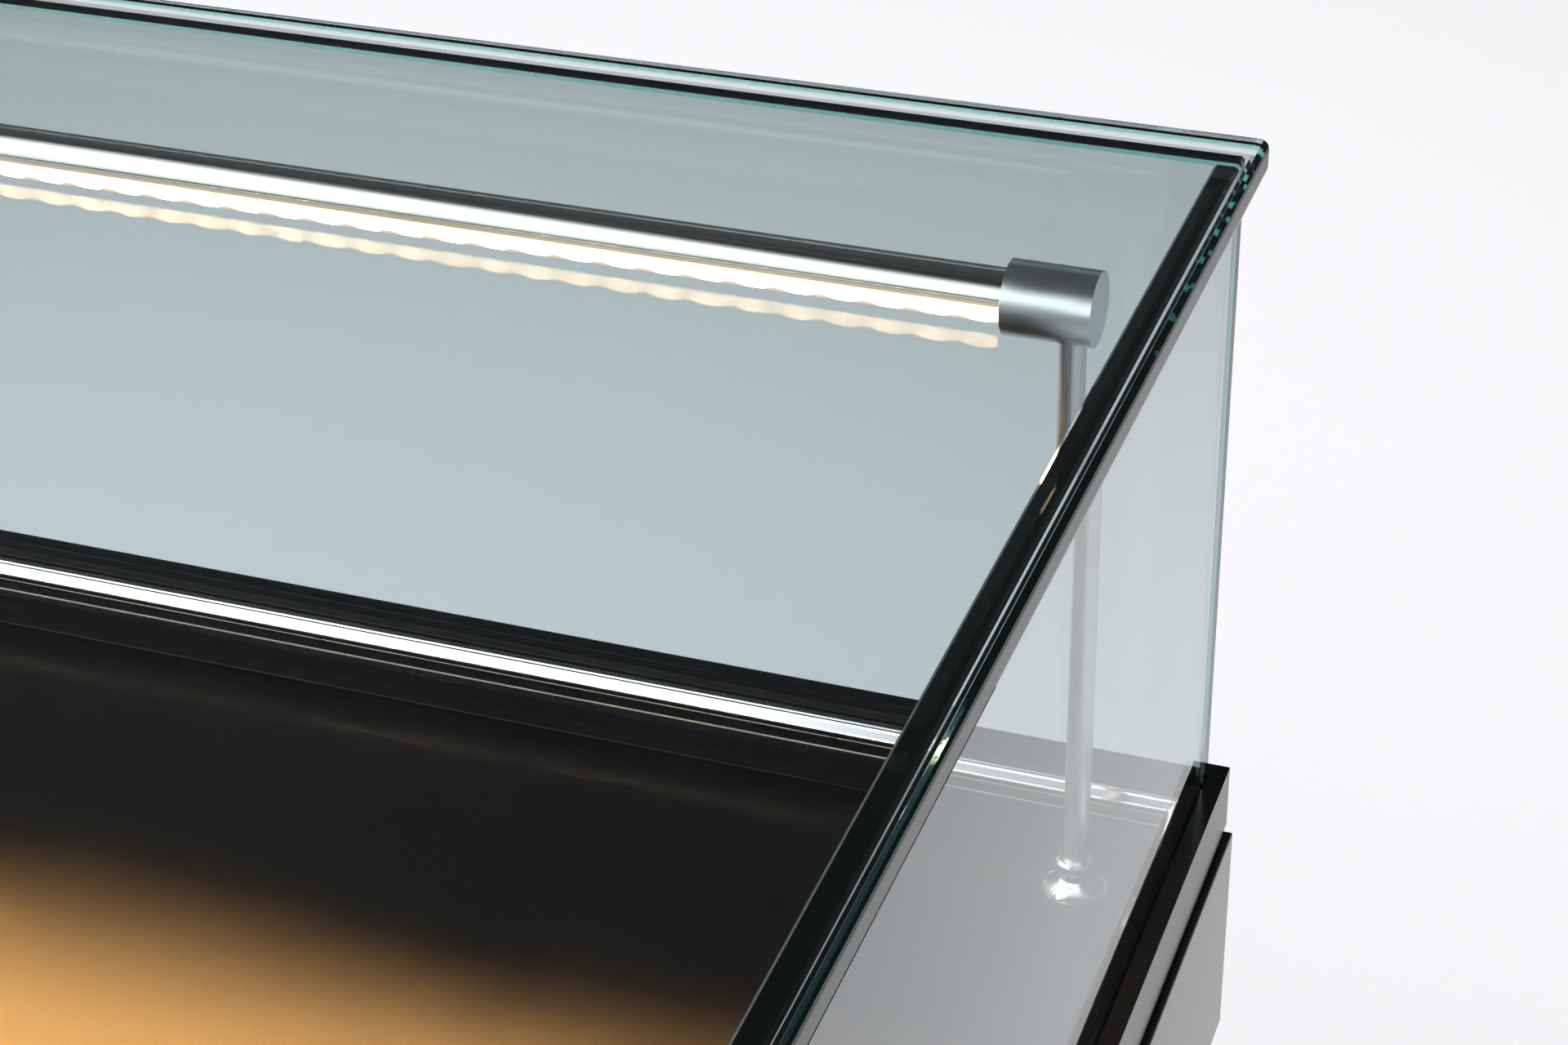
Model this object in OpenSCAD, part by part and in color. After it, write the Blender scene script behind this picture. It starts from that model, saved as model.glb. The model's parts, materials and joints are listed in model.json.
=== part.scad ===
// Lit glass display case on a steel stand. Millimetres, +Z up, origin on the floor
// under the middle of the case. X is the long way, +Y is the customer's side with the
// light bar, -Y is the staff side with two sliding glass doors.

/* [Overall] */
// Length of the top glass along X
case_l = 1200; // [1100:10:1400]
// Depth of the top glass along Y
case_d = 700; // [600:10:800]
// Height of the top glass above the floor
case_h = 950; // [900:10:1000]
// Height of the glass hood above its rail
hood_h = 300; // [280:2:320]
// Height of the base, rail included
base_h = 147; // [140:1:160]

/* [Glass] */
// Thickness of the top glass
top_t = 15; // [12:1:15]
// Plan radius of the top glass's corners
top_corner_r = 4; // [1:0.5:4]
// Thickness of the fixed side glasses
pane_t = 10; // [8:1:10]
// Thickness of the sliding doors
door_t = 6; // [5:0.5:6]
// How far the top glass stands out past the side glasses
ledge = 8; // [6:1:10]

/* [Rail] */
// Height of the rail's outer face
rail_h = 31; // [30:1:34]
// Width of the lip inside the glass
lip_w = 6; // [5:0.5:8]
// Width of the polished step inside the lip
step_w = 5; // [4:0.5:6]
// Depth of the glazing channel
channel_d = 18; // [14:1:20]

/* [Light bar] */
// Outside diameter of the light tube
tube_d = 22; // [20:1:24]
// Diameter of the end connectors
connector_d = 30; // [28:1:34]
// Length of each end connector
connector_l = 36; // [30:1:40]
// Diameter of the two posts
post_d = 11; // [8:1:12]
// Distance from the middle of the case to each connector's inner end
connector_x = 514; // [400:1:520]
// Distance from the top glass's customer edge to the tube's axis
bar_inset = 64; // [50:1:80]
// Distance from the top of the glass down to the tube's axis
bar_drop = 60.5; // [50:0.5:70]
// Angle of the light's opening below the horizontal
light_tilt = 42; // [20:1:50]

/* [Base and stand] */
// Thickness of the skirt panels
skirt_t = 12; // [10:1:15]
// How far the skirt stands out past the rail
skirt_proud = 2.5; // [1:0.5:4]
// Open line between the skirt and the rail
reveal = 5; // [2:0.5:6]
// Width of the square leg tube
leg_w = 40; // [30:1:45]
// Wall of the square tubes
tube_wall = 2; // [1.5:0.5:3]
// Width of the square stretcher tube
stretcher_w = 30; // [20:1:30]
// Height of the stretchers' underside above the floor
stretcher_z = 120; // [80:5:200]
// How far the legs stand in from the edge of the top glass
leg_inset = 30; // [20:1:60]
// Diameter of each levelling foot's pad
foot_d = 50; // [40:1:55]

/* [Hidden] */
$fn = 64;

half_l = case_l / 2;
half_d = case_d / 2;
top_under = case_h - top_t;
rail_top = case_h - hood_h;
deck_z = rail_top - rail_h;
base_z = rail_top - base_h;
bond = 0.2;

// Rail section, measured inwards from the outer face and down from the top
lip_u = ledge + pane_t + lip_w;
rail_w = lip_u + step_w;
step_drop = 8;
strip_t = 0.8;
strip_upstand = 4.9;
strip_facet = 3;
groove_fine = 11;
groove_bold = 17;

// Glass
glass_embed = 15;
pane_z = rail_top - glass_embed;
pane_h = top_under - bond - pane_z;
pane_end_staff = half_d - 2;

// Doors and their tracks, measured inwards from the staff edge
track_u = 3;
track_wall = 2;
track_groove = 9;
track_web = 4;
track_w = 2 * track_wall + 2 * track_groove + track_web;
track_x = half_l - ledge - pane_t - 0.3;
track_bottom_h = 10;
track_top_h = 16;
track_floor = 2;
track_ceiling = 3;
outer_y = -half_d + track_u + track_wall + track_groove / 2;
inner_y = outer_y + track_groove + track_web;
bumper_t = 3;
door_gap = 0.3;
door_x = track_x - bumper_t - door_gap;
door_overlap = 40;
door_l = door_x + door_overlap / 2;
shoe_w = door_t + 2;
shoe_h = 14;
shoe_floor = 3;
shoe_z = rail_top + track_floor + door_gap;
door_z = shoe_z + shoe_floor;
door_top = top_under - bond - track_ceiling - 4;
pull_d = 34;
pull_t = 2.5;
pull_z = 790;
pull_in = 40;

// Lock in the outer door, close to its meeting edge
lock_x = -door_overlap / 2 + 30;
lock_z = rail_top + 50;
lock_flange_d = 24;
lock_sleeve_d = 18.6;
lock_hole_d = 19;
lock_bore_d = 12.2;
lock_barrel_d = 12;
lock_proud = 8;
lock_nut_t = 2;
cam_gap = 0.4;
cam_t = 1.5;

// Light bar
bar_y = half_d - bar_inset;
bar_z = case_h - bar_drop;
tube_wall_t = 1.5;
tube_in = 12;
socket_depth = 14;
socket_d = tube_d + 0.2;
post_x = connector_x + connector_l - 10;
aperture_w = 15.5;
board_t = 1.6;
cover_t = 1.2;
flange_d = 28;
neck_d = 14;
collar_d = 17;
neck_top = 11.5;
collar_h = 5;
flare_h = 7;
post_bore_d = post_d + 0.1;
grub_angle = 234;
grub_d = 4;

// Base
board_t_deck = 15;
panel_t = 4;
trim_w = 8.5;
trim_t = 1;
pan_t = 3;
base_in_x = half_l + skirt_proud - skirt_t;
base_in_y = half_d + skirt_proud - skirt_t;
board_z = deck_z - board_t_deck;
batten_w = 40;
batten_y = half_d - leg_inset - leg_w / 2;
batten_x = post_x - 30;
screw_x = [-batten_x + 40, 0, batten_x - 40];
bolt_x = 350;
bolt_d = 8;

// Stand
leg_x = half_l - leg_inset - leg_w / 2;
leg_y = half_d - leg_inset - leg_w / 2;
leg_z = 20;
insert_h = 20;
insert_plate_t = 4;
stem_d = 10;
pad_h = 8;
gland_x = 420;
gland_y = -180;
driver_x = 250;
driver_y = -180;
driver_size = [170, 48, 32];

GLASS = [0.72, 0.86, 0.83, 0.35];
BLACK = [0.05, 0.05, 0.055];
CHROME = [0.82, 0.83, 0.84];
ALU = [0.72, 0.73, 0.74];
WARM = [1.0, 0.87, 0.66];
WOOD = [0.62, 0.49, 0.33];

// A straight piece along X on the customer side, cut to 45 degrees at both ends.
// Its child is the section: x inwards from the line at distance h, y the height.
module mitred_run(h, half_len, w)
{
    intersection() {
        rotate([90, 0, 90])
            translate([0, 0, -half_len])
                linear_extrude(2 * half_len)
                    translate([h, 0])
                        mirror([1, 0])
                            children();
        linear_extrude(case_h)
            polygon([[-half_len, h], [half_len, h], [half_len - w, h - w], [w - half_len, h - w]]);
    }
}

// A square tube along Z, standing on z = 0
module square_tube(w, length)
{
    difference() {
        translate([-w / 2, -w / 2, 0])
            cube([w, w, length]);
        translate([tube_wall - w / 2, tube_wall - w / 2, -1])
            cube([w - 2 * tube_wall, w - 2 * tube_wall, length + 2]);
    }
}

// ---- Stand ----

module leg(sx, sy)
{
    color(BLACK)
        translate([sx * leg_x, sy * leg_y, leg_z])
            square_tube(leg_w, base_z - leg_z);
}

module stand_long_rail(sy)
{
    length = 2 * leg_x - leg_w;
    color(BLACK)
        difference() {
            translate([-length / 2, sy * leg_y, base_z - leg_w / 2])
                rotate([0, 90, 0])
                    square_tube(leg_w, length);
            for (sx = [-1, 1])
                translate([sx * bolt_x, sy * leg_y, base_z - leg_w - 1])
                    cylinder(d = bolt_d + 1, h = leg_w + 2);
        }
}

module stand_end_rails()
{
    length = 2 * leg_y - leg_w;
    color(BLACK)
        for (sx = [-1, 1])
            translate([sx * leg_x, length / 2, base_z - leg_w / 2])
                rotate([90, 0, 0])
                    square_tube(leg_w, length);
}

module side_stretchers()
{
    length = 2 * leg_y - leg_w;
    color(BLACK)
        for (sx = [-1, 1])
            translate([sx * leg_x, length / 2, stretcher_z + stretcher_w / 2])
                rotate([90, 0, 0])
                    square_tube(stretcher_w, length);
}

module long_stretcher()
{
    length = 2 * leg_x - stretcher_w;
    color(BLACK)
        translate([-length / 2, 0, stretcher_z + stretcher_w / 2])
            rotate([0, 90, 0])
                square_tube(stretcher_w, length);
}

// Steel plugs in the leg ends, threaded for the feet
module leg_inserts()
{
    inner = leg_w - 2 * tube_wall;
    color(CHROME)
        for (sx = [-1, 1], sy = [-1, 1])
            translate([sx * leg_x, sy * leg_y, leg_z])
                difference() {
                    union() {
                        translate([-inner / 2, -inner / 2, 0])
                            cube([inner, inner, insert_h]);
                        translate([-leg_w / 2, -leg_w / 2, -insert_plate_t])
                            cube([leg_w, leg_w, insert_plate_t]);
                    }
                    translate([0, 0, -insert_plate_t - 1])
                        cylinder(d = stem_d + 0.2, h = insert_h + insert_plate_t + 2);
                }
}

module foot(sx, sy)
{
    neck_z = leg_z - insert_plate_t - 1;
    color(CHROME)
        translate([sx * leg_x, sy * leg_y, 0]) {
            cylinder(d = foot_d, h = pad_h - 3);
            translate([0, 0, pad_h - 3])
                cylinder(d1 = foot_d, d2 = foot_d / 2, h = 3);
            translate([0, 0, pad_h - 0.01])
                cylinder(d = 17, h = neck_z - pad_h + 0.01, $fn = 6);
            translate([0, 0, neck_z - 0.01])
                cylinder(d = stem_d, h = 40);
        }
}

module stand_bolts()
{
    head_h = 5.3;
    color(CHROME)
        for (sx = [-1, 1], sy = [-1, 1])
            translate([sx * bolt_x, sy * leg_y, base_z - leg_w]) {
                translate([0, 0, -head_h])
                    cylinder(d = 15, h = head_h, $fn = 6);
                cylinder(d = bolt_d, h = leg_w + 30);
            }
}

// ---- Base ----

// Skirt section with a rounded top and bottom outer edge
module skirt_section()
{
    top = deck_z - reveal;
    round_top = 2;
    round_bottom = 3;
    difference() {
        translate([0, base_z])
            square([skirt_t, top - base_z]);
        difference() {
            translate([-1, top - round_top])
                square([round_top + 1, round_top + 1]);
            translate([round_top, top - round_top])
                circle(r = round_top);
        }
        difference() {
            translate([-1, base_z - 1])
                square([round_bottom + 1, round_bottom + 1]);
            translate([round_bottom, base_z + round_bottom])
                circle(r = round_bottom);
        }
    }
}

module skirt(long_side, turn)
{
    across = (long_side ? half_d : half_l) + skirt_proud;
    along = (long_side ? half_l : half_d) + skirt_proud;
    color(BLACK)
        rotate([0, 0, turn])
            mitred_run(across, along, skirt_t)
                skirt_section();
}

module base_battens()
{
    color(WOOD)
        for (sy = [-1, 1])
            difference() {
                translate([-batten_x, sy * batten_y - batten_w / 2, base_z + pan_t])
                    cube([2 * batten_x, batten_w, board_z - base_z - pan_t]);
                for (sx = [-1, 1])
                    translate([sx * bolt_x, sy * batten_y, base_z])
                        cylinder(d = bolt_d + 0.1, h = 31);
                for (x = screw_x)
                    translate([x, sy * batten_y, base_z])
                        cylinder(d = 4.1, h = 16);
            }
}

module base_pan()
{
    color(BLACK)
        difference() {
            translate([-base_in_x, -base_in_y, base_z])
                cube([2 * base_in_x, 2 * base_in_y, pan_t]);
            for (sx = [-1, 1], sy = [-1, 1])
                translate([sx * bolt_x, sy * leg_y, base_z - 1])
                    cylinder(d = bolt_d + 1, h = pan_t + 2);
            translate([gland_x, gland_y, base_z - 1])
                cylinder(d = 16.2, h = pan_t + 2);
            for (x = screw_x, sy = [-1, 1])
                translate([x, sy * batten_y, base_z]) {
                    translate([0, 0, -0.1])
                        cylinder(d1 = 8.5, d2 = 4.3, h = 2.1);
                    cylinder(d = 4.3, h = pan_t + 1);
                }
        }
}

// Countersunk screws from the pan into the battens
module base_screws()
{
    color(CHROME)
        for (x = screw_x, sy = [-1, 1])
            translate([x, sy * batten_y, base_z]) {
                cylinder(d1 = 8, d2 = 4, h = 2);
                cylinder(d = 4, h = 15);
            }
}

module post_holes(z, h)
{
    for (sx = [-1, 1])
        translate([sx * post_x, bar_y, z])
            cylinder(d = post_d + 0.4, h = h);
}

module deck_board()
{
    color(WOOD)
        difference() {
            translate([-base_in_x, -base_in_y, board_z])
                cube([2 * base_in_x, 2 * base_in_y, board_t_deck - panel_t]);
            post_holes(board_z - 1, board_t_deck);
        }
}

// The black floor of the display space
module deck_panel()
{
    color(BLACK)
        difference() {
            translate([-base_in_x, -base_in_y, deck_z - panel_t])
                cube([2 * base_in_x, 2 * base_in_y, panel_t]);
            post_holes(deck_z - panel_t - 1, panel_t + 2);
        }
}

module deck_edge_trim()
{
    color(BLACK)
        for (long_side = [true, false], half_turn = [0, 180])
            rotate([0, 0, (long_side ? 0 : 90) + half_turn])
                mitred_run((long_side ? half_d : half_l) - rail_w, (long_side ? half_l : half_d) - rail_w, trim_w)
                    translate([0, deck_z])
                        square([trim_w, trim_t]);
}

module led_driver()
{
    color([0.85, 0.86, 0.86])
        translate([driver_x - driver_size[0] / 2, driver_y - driver_size[1] / 2, base_z + pan_t]) {
            translate([10, 0, 0])
                cube([driver_size[0] - 20, driver_size[1], driver_size[2]]);
            difference() {
                cube([driver_size[0], driver_size[1], 2.5]);
                for (x = [5, driver_size[0] - 5])
                    translate([x, driver_size[1] / 2, -1])
                        cylinder(d = 4.2, h = 5);
            }
        }
}

// Low-voltage lead from the driver to the right post's hollow foot
module led_lead()
{
    lead_d = 6;
    z = base_z + pan_t + 40;
    points = [[driver_x, driver_y, base_z + pan_t + driver_size[2] + lead_d / 2],
              [driver_x, driver_y, z],
              [driver_x, 0, z],
              [post_x, 0, z],
              [post_x, bar_y, z],
              [post_x, bar_y, board_z - 14.5]];
    color([0.12, 0.12, 0.12])
        for (i = [0 : len(points) - 2]) {
            step = points[i + 1] - points[i];
            turn = [0, acos(step[2] / norm(step)), atan2(step[1], step[0])];
            translate(points[i]) {
                sphere(d = lead_d, $fn = 24);
                rotate(turn)
                    cylinder(d = lead_d, h = norm(step), $fn = 24);
            }
        }
}

// Cable gland under the base: the mains lead enters here
module power_gland()
{
    color(BLACK)
        translate([gland_x, gland_y, 0])
            difference() {
                union() {
                    translate([0, 0, base_z - 5])
                        cylinder(d = 25.4, h = 5, $fn = 6);
                    translate([0, 0, base_z - 16])
                        cylinder(d = 20, h = 11);
                    translate([0, 0, base_z - 0.01])
                        cylinder(d = 16, h = 12);
                    translate([0, 0, base_z + pan_t])
                        cylinder(d = 25.4, h = 5, $fn = 6);
                }
                translate([0, 0, base_z - 17])
                    cylinder(d = 8, h = 40);
            }
}

// ---- Rail ----

// Section of the rails that hold glass
module glazed_section()
{
    fine = 0.4;
    bold = 0.6;
    translate([0, rail_top])
        polygon([
            [0, 0], [ledge, 0], [ledge, -channel_d],
            [ledge + pane_t, -channel_d], [ledge + pane_t, 0], [lip_u, 0],
            [lip_u, strip_upstand - step_drop], [lip_u - strip_t, strip_upstand - step_drop],
            [lip_u - strip_t, -step_drop - strip_t], [rail_w, -step_drop - strip_t],
            [rail_w, fine - groove_fine], [rail_w - fine, -groove_fine], [rail_w, -groove_fine - fine],
            [rail_w, bold - groove_bold], [rail_w - bold, -groove_bold], [rail_w, -groove_bold - bold],
            [rail_w, -rail_h], [0, -rail_h]
        ]);
}

module strip_section()
{
    translate([0, rail_top])
        polygon([
            [lip_u - strip_t, strip_upstand - step_drop], [rail_w - strip_facet, strip_upstand - step_drop],
            [rail_w - strip_facet, strip_facet - step_drop], [rail_w, -step_drop],
            [rail_w, -step_drop - strip_t], [lip_u - strip_t, -step_drop - strip_t]
        ]);
}

module end_rail(turn)
{
    color(BLACK)
        rotate([0, 0, turn])
            mitred_run(half_l, half_d, rail_w)
                glazed_section();
}

module rail_customer()
{
    color(BLACK)
        mitred_run(half_d, half_l, rail_w)
            glazed_section();
}

// The staff rail has no channel: its flat top carries the doors' track
module rail_staff()
{
    color(BLACK)
        difference() {
            rotate([0, 0, 180])
                mitred_run(half_d, half_l, rail_w)
                    translate([0, deck_z])
                        square([rail_w, rail_h]);
            for (sx = [-1, 1])
                translate([sx * (half_l - ledge - pane_t / 2) - pane_t / 2, -pane_end_staff, rail_top - channel_d])
                    cube([pane_t, pane_t + rail_w, channel_d + 1]);
        }
}

module polished_strip()
{
    color(CHROME) {
        mitred_run(half_d, half_l, rail_w)
            strip_section();
        for (turn = [90, -90])
            rotate([0, 0, turn])
                mitred_run(half_l, half_d, rail_w)
                    strip_section();
    }
}

// Rubber blocks that the fixed glasses stand on inside the channel
module setting_blocks()
{
    block_l = 80;
    block_h = channel_d - glass_embed;
    color(BLACK) {
        for (x = [-400, 400])
            translate([x - block_l / 2, half_d - ledge - pane_t, rail_top - channel_d])
                cube([block_l, pane_t, block_h]);
        for (sx = [-1, 1], y = [-0.6 * half_d, 0.4 * half_d])
            translate([sx * (half_l - ledge - pane_t / 2) - pane_t / 2, y, rail_top - channel_d])
                cube([pane_t, block_l, block_h]);
    }
}

// ---- Hood glass ----

module glass_top()
{
    color(GLASS)
        translate([0, 0, top_under])
            linear_extrude(top_t) {
                square([case_l - 2 * top_corner_r, case_d], center = true);
                square([case_l, case_d - 2 * top_corner_r], center = true);
                for (sx = [-1, 1], sy = [-1, 1])
                    translate([sx * (half_l - top_corner_r), sy * (half_d - top_corner_r)])
                        circle(r = top_corner_r);
            }
}

module glass_customer()
{
    color(GLASS)
        translate([ledge - half_l, half_d - ledge - pane_t, pane_z])
            cube([case_l - 2 * ledge, pane_t, pane_h]);
}

module glass_side(sx)
{
    y_end = half_d - ledge - pane_t - bond;
    color(GLASS)
        translate([sx * (half_l - ledge - pane_t / 2) - pane_t / 2, -pane_end_staff, pane_z])
            cube([pane_t, y_end + pane_end_staff, pane_h]);
}

// ---- Doors on the staff side ----

module track(z, h, web_z)
{
    grooves = [outer_y, inner_y];
    difference() {
        translate([-track_x, -half_d + track_u, z])
            cube([2 * track_x, track_w, h]);
        for (y = grooves)
            translate([-track_x - 1, y - track_groove / 2, web_z])
                cube([2 * track_x + 2, track_groove, h]);
    }
}

module door_track_bottom()
{
    color(BLACK)
        track(rail_top, track_bottom_h, rail_top + track_floor);
}

module door_track_top()
{
    z = top_under - bond - track_top_h;
    color(BLACK)
        track(z, track_top_h, z - track_ceiling);
}

module door_bumpers()
{
    color(BLACK)
        for (sx = [-1, 1], y = [outer_y, inner_y])
            translate([sx * (track_x - bumper_t / 2) - bumper_t / 2, y - track_groove / 2, rail_top + track_floor])
                cube([bumper_t, track_groove, 6]);
}

// A door's low end in X is -door_x for the left door and door_x - door_l for the right one
function door_low(sx) = sx < 0 ? -door_x : door_x - door_l;
function door_y(sx) = sx < 0 ? inner_y : outer_y;

module door_glass(sx)
{
    color(GLASS)
        difference() {
            translate([door_low(sx), door_y(sx) - door_t / 2, door_z])
                cube([door_l, door_t, door_top - door_z]);
            if (sx > 0)
                translate([lock_x, outer_y + door_t, lock_z])
                    rotate([90, 0, 0])
                        cylinder(d = lock_hole_d, h = 2 * door_t);
        }
}

module door_shoe(sx)
{
    color(BLACK)
        difference() {
            translate([door_low(sx), door_y(sx) - shoe_w / 2, shoe_z])
                cube([door_l, shoe_w, shoe_h]);
            translate([door_low(sx) - 1, door_y(sx) - door_t / 2, door_z])
                cube([door_l + 2, door_t, shoe_h]);
        }
}

// Round finger pull with a shallow dish, bonded to the door's outer face
module door_pull(sx)
{
    color(CHROME)
        translate([sx * (door_x - pull_in), door_y(sx) - door_t / 2, pull_z])
            rotate([90, 0, 0])
                rotate_extrude()
                    polygon([[0, 0], [pull_d / 2, 0], [pull_d / 2, pull_t - 0.6], [pull_d / 2 - 0.6, pull_t],
                             [pull_d / 2 - 3, pull_t], [pull_d / 2 - 5, 0.8], [0, 0.8]]);
}

module lock_body()
{
    outer_face = outer_y - door_t / 2;
    inner_face = outer_y + door_t / 2;
    color(CHROME)
        translate([lock_x, 0, lock_z])
            difference() {
                union() {
                    translate([0, outer_face, 0])
                        rotate([90, 0, 0])
                            cylinder(d = lock_flange_d, h = lock_proud);
                    translate([0, inner_face + lock_nut_t, 0])
                        rotate([90, 0, 0])
                            cylinder(d = lock_sleeve_d, h = door_t + lock_nut_t + 1);
                    translate([0, inner_face + lock_nut_t, 0])
                        rotate([90, 0, 0])
                            cylinder(d = lock_flange_d, h = lock_nut_t);
                }
                translate([0, inner_face + 10, 0])
                    rotate([90, 0, 0])
                        cylinder(d = lock_bore_d, h = 40);
            }
}

module lock_barrel()
{
    outer_face = outer_y - door_t / 2 - lock_proud;
    cam_y = outer_y + door_t / 2 + lock_nut_t + cam_gap;
    keyway = [2, 3, 7];
    color(ALU)
        translate([lock_x, 0, lock_z])
            difference() {
                union() {
                    translate([0, cam_y, 0])
                        rotate([90, 0, 0])
                            cylinder(d = lock_barrel_d, h = cam_y - outer_face);
                    translate([-4, cam_y, -22])
                        cube([8, cam_t, 26]);
                }
                translate([-keyway[0] / 2, outer_face - 1, -keyway[2] / 2])
                    cube([keyway[0], keyway[1] + 1, keyway[2]]);
            }
}

// ---- Light bar ----

// Places a section, x outwards through the light's opening and y across it, on the bar's axis
module along_bar(half_len)
{
    translate([-half_len, bar_y, bar_z])
        rotate([90, 0, 90])
            linear_extrude(2 * half_len)
                rotate(180 + light_tilt)
                    children();
}

module light_tube()
{
    color(CHROME)
        along_bar(connector_x + tube_in)
            difference() {
                circle(d = tube_d);
                circle(d = tube_d - 2 * tube_wall_t);
                translate([0, -aperture_w / 2])
                    square([tube_d, aperture_w]);
            }
}

module led_board()
{
    reach = sqrt(pow(tube_d / 2 - tube_wall_t, 2) - pow(board_t, 2)) - 0.05;
    color([0.93, 0.93, 0.9])
        along_bar(connector_x - 2)
            translate([0, -reach])
                square([board_t, 2 * reach]);
}

module led_cover()
{
    color(WARM)
        along_bar(connector_x - 1)
            intersection() {
                difference() {
                    circle(r = tube_d / 2 - 0.2);
                    circle(r = tube_d / 2 - 0.2 - cover_t);
                }
                translate([0, -aperture_w / 2 + 0.05])
                    square([tube_d, aperture_w - 0.1]);
            }
}

module connector(sx)
{
    color(ALU)
        difference() {
            translate([sx > 0 ? connector_x : -connector_x - connector_l, bar_y, bar_z])
                rotate([0, 90, 0])
                    cylinder(d = connector_d, h = connector_l);
            translate([sx > 0 ? connector_x - 1 : -connector_x - socket_depth, bar_y, bar_z])
                rotate([0, 90, 0])
                    cylinder(d = socket_d, h = socket_depth + 1);
            translate([sx * post_x, bar_y, bar_z - connector_d])
                cylinder(d = post_bore_d, h = connector_d + 5.1);
            translate([sx * post_x, bar_y + connector_d, bar_z])
                rotate([90, 0, 0])
                    cylinder(d = grub_d + 0.1, h = connector_d);
        }
}

module post(sx)
{
    color(CHROME)
        translate([sx * post_x, bar_y, board_z - 14])
            difference() {
                cylinder(d = post_d, h = bar_z + 5 - board_z + 14);
                translate([0, 0, -1])
                    cylinder(d = post_d - 3, h = bar_z - board_z + 30);
            }
}

// Turned foot flanges: thin rim, flare, neck and a loose-looking collar ring
module post_flanges()
{
    rim_t = 0.8;
    ogee = [for (i = [0 : 8])
        let (s = i / 8, r = flange_d / 2 - 1 - (flange_d / 2 - 1 - neck_d / 2) * s)
            [r, rim_t + (flare_h - rim_t) * pow(s, 1.7)]];
    color(CHROME)
        for (sx = [-1, 1])
            translate([sx * post_x, bar_y, deck_z])
                difference() {
                    rotate_extrude()
                        polygon(concat(
                            [[post_bore_d / 2, 0], [flange_d / 2, 0], [flange_d / 2, rim_t]],
                            ogee,
                            [[neck_d / 2, neck_top], [collar_d / 2 - 0.7, neck_top],
                             [collar_d / 2, neck_top + 0.8], [collar_d / 2, neck_top + collar_h - 1.2],
                             [collar_d / 2 - 1.2, neck_top + collar_h], [post_bore_d / 2, neck_top + collar_h]]));
                    rotate([0, 0, grub_angle])
                        translate([0, 0, 9])
                            rotate([0, 90, 0])
                                cylinder(d = grub_d + 0.1, h = neck_d);
                }
}

module grub_screws()
{
    hex_d = 2.3;
    color([0.3, 0.3, 0.31])
        for (sx = [-1, 1]) {
            translate([sx * post_x, bar_y, deck_z + 9])
                rotate([0, 0, grub_angle])
                    rotate([0, 90, 0])
                        translate([0, 0, post_d / 2 + 0.02])
                            difference() {
                                cylinder(d = grub_d, h = 1.3);
                                translate([0, 0, 0.5])
                                    cylinder(d = hex_d, h = 2, $fn = 6);
                            }
            translate([sx * post_x, bar_y + post_d / 2 + 0.02, bar_z])
                rotate([-90, 0, 0])
                    difference() {
                        cylinder(d = grub_d, h = 8);
                        translate([0, 0, 6])
                            cylinder(d = hex_d, h = 4, $fn = 6);
                    }
        }
}

// Washer and nut under the deck board
module post_nuts()
{
    color(CHROME)
        for (sx = [-1, 1])
            translate([sx * post_x, bar_y, board_z])
                difference() {
                    union() {
                        translate([0, 0, -2])
                            cylinder(d = 24, h = 2);
                        translate([0, 0, -9])
                            cylinder(d = 18.5, h = 7.01, $fn = 6);
                    }
                    translate([0, 0, -10])
                        cylinder(d = post_bore_d, h = 12);
                }
}

leg(-1, 1);  // leg_customer_left
leg(1, 1);  // leg_customer_right
leg(-1, -1);  // leg_staff_left
leg(1, -1);  // leg_staff_right
stand_long_rail(1);  // stand_rail_customer
stand_long_rail(-1);  // stand_rail_staff
stand_end_rails();
side_stretchers();
long_stretcher();
leg_inserts();
stand_bolts();
foot(-1, 1);  // foot_customer_left
foot(1, 1);  // foot_customer_right
foot(-1, -1);  // foot_staff_left
foot(1, -1);  // foot_staff_right
skirt(true, 0);  // skirt_customer
skirt(true, 180);  // skirt_staff
skirt(false, 90);  // skirt_left
skirt(false, -90);  // skirt_right
base_battens();
base_pan();
base_screws();
deck_board();
deck_panel();
deck_edge_trim();
led_driver();
led_lead();
power_gland();
rail_customer();
rail_staff();
end_rail(90);  // rail_left
end_rail(-90);  // rail_right
polished_strip();
setting_blocks();
glass_top();
glass_customer();
glass_side(-1);  // glass_left
glass_side(1);  // glass_right
door_track_bottom();
door_track_top();
door_bumpers();
door_glass(-1);  // door_glass_left
door_shoe(-1);  // door_shoe_left
door_pull(-1);  // door_pull_left
door_glass(1);  // door_glass_right
door_shoe(1);  // door_shoe_right
door_pull(1);  // door_pull_right
lock_body();
lock_barrel();
light_tube();
led_board();
led_cover();
connector(-1);  // connector_left
connector(1);  // connector_right
post(-1);  // post_left
post(1);  // post_right
post_flanges();
grub_screws();
post_nuts();
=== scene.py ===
"""Looks for a lit glass display case on a steel stand.

Metres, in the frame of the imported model: X along the case, +Y the customer's side with the
light bar, -Y the staff side with the sliding doors, Z up from the floor.
"""
import json
import math

import bmesh
import bpy
from mathutils import Matrix, Vector


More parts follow.
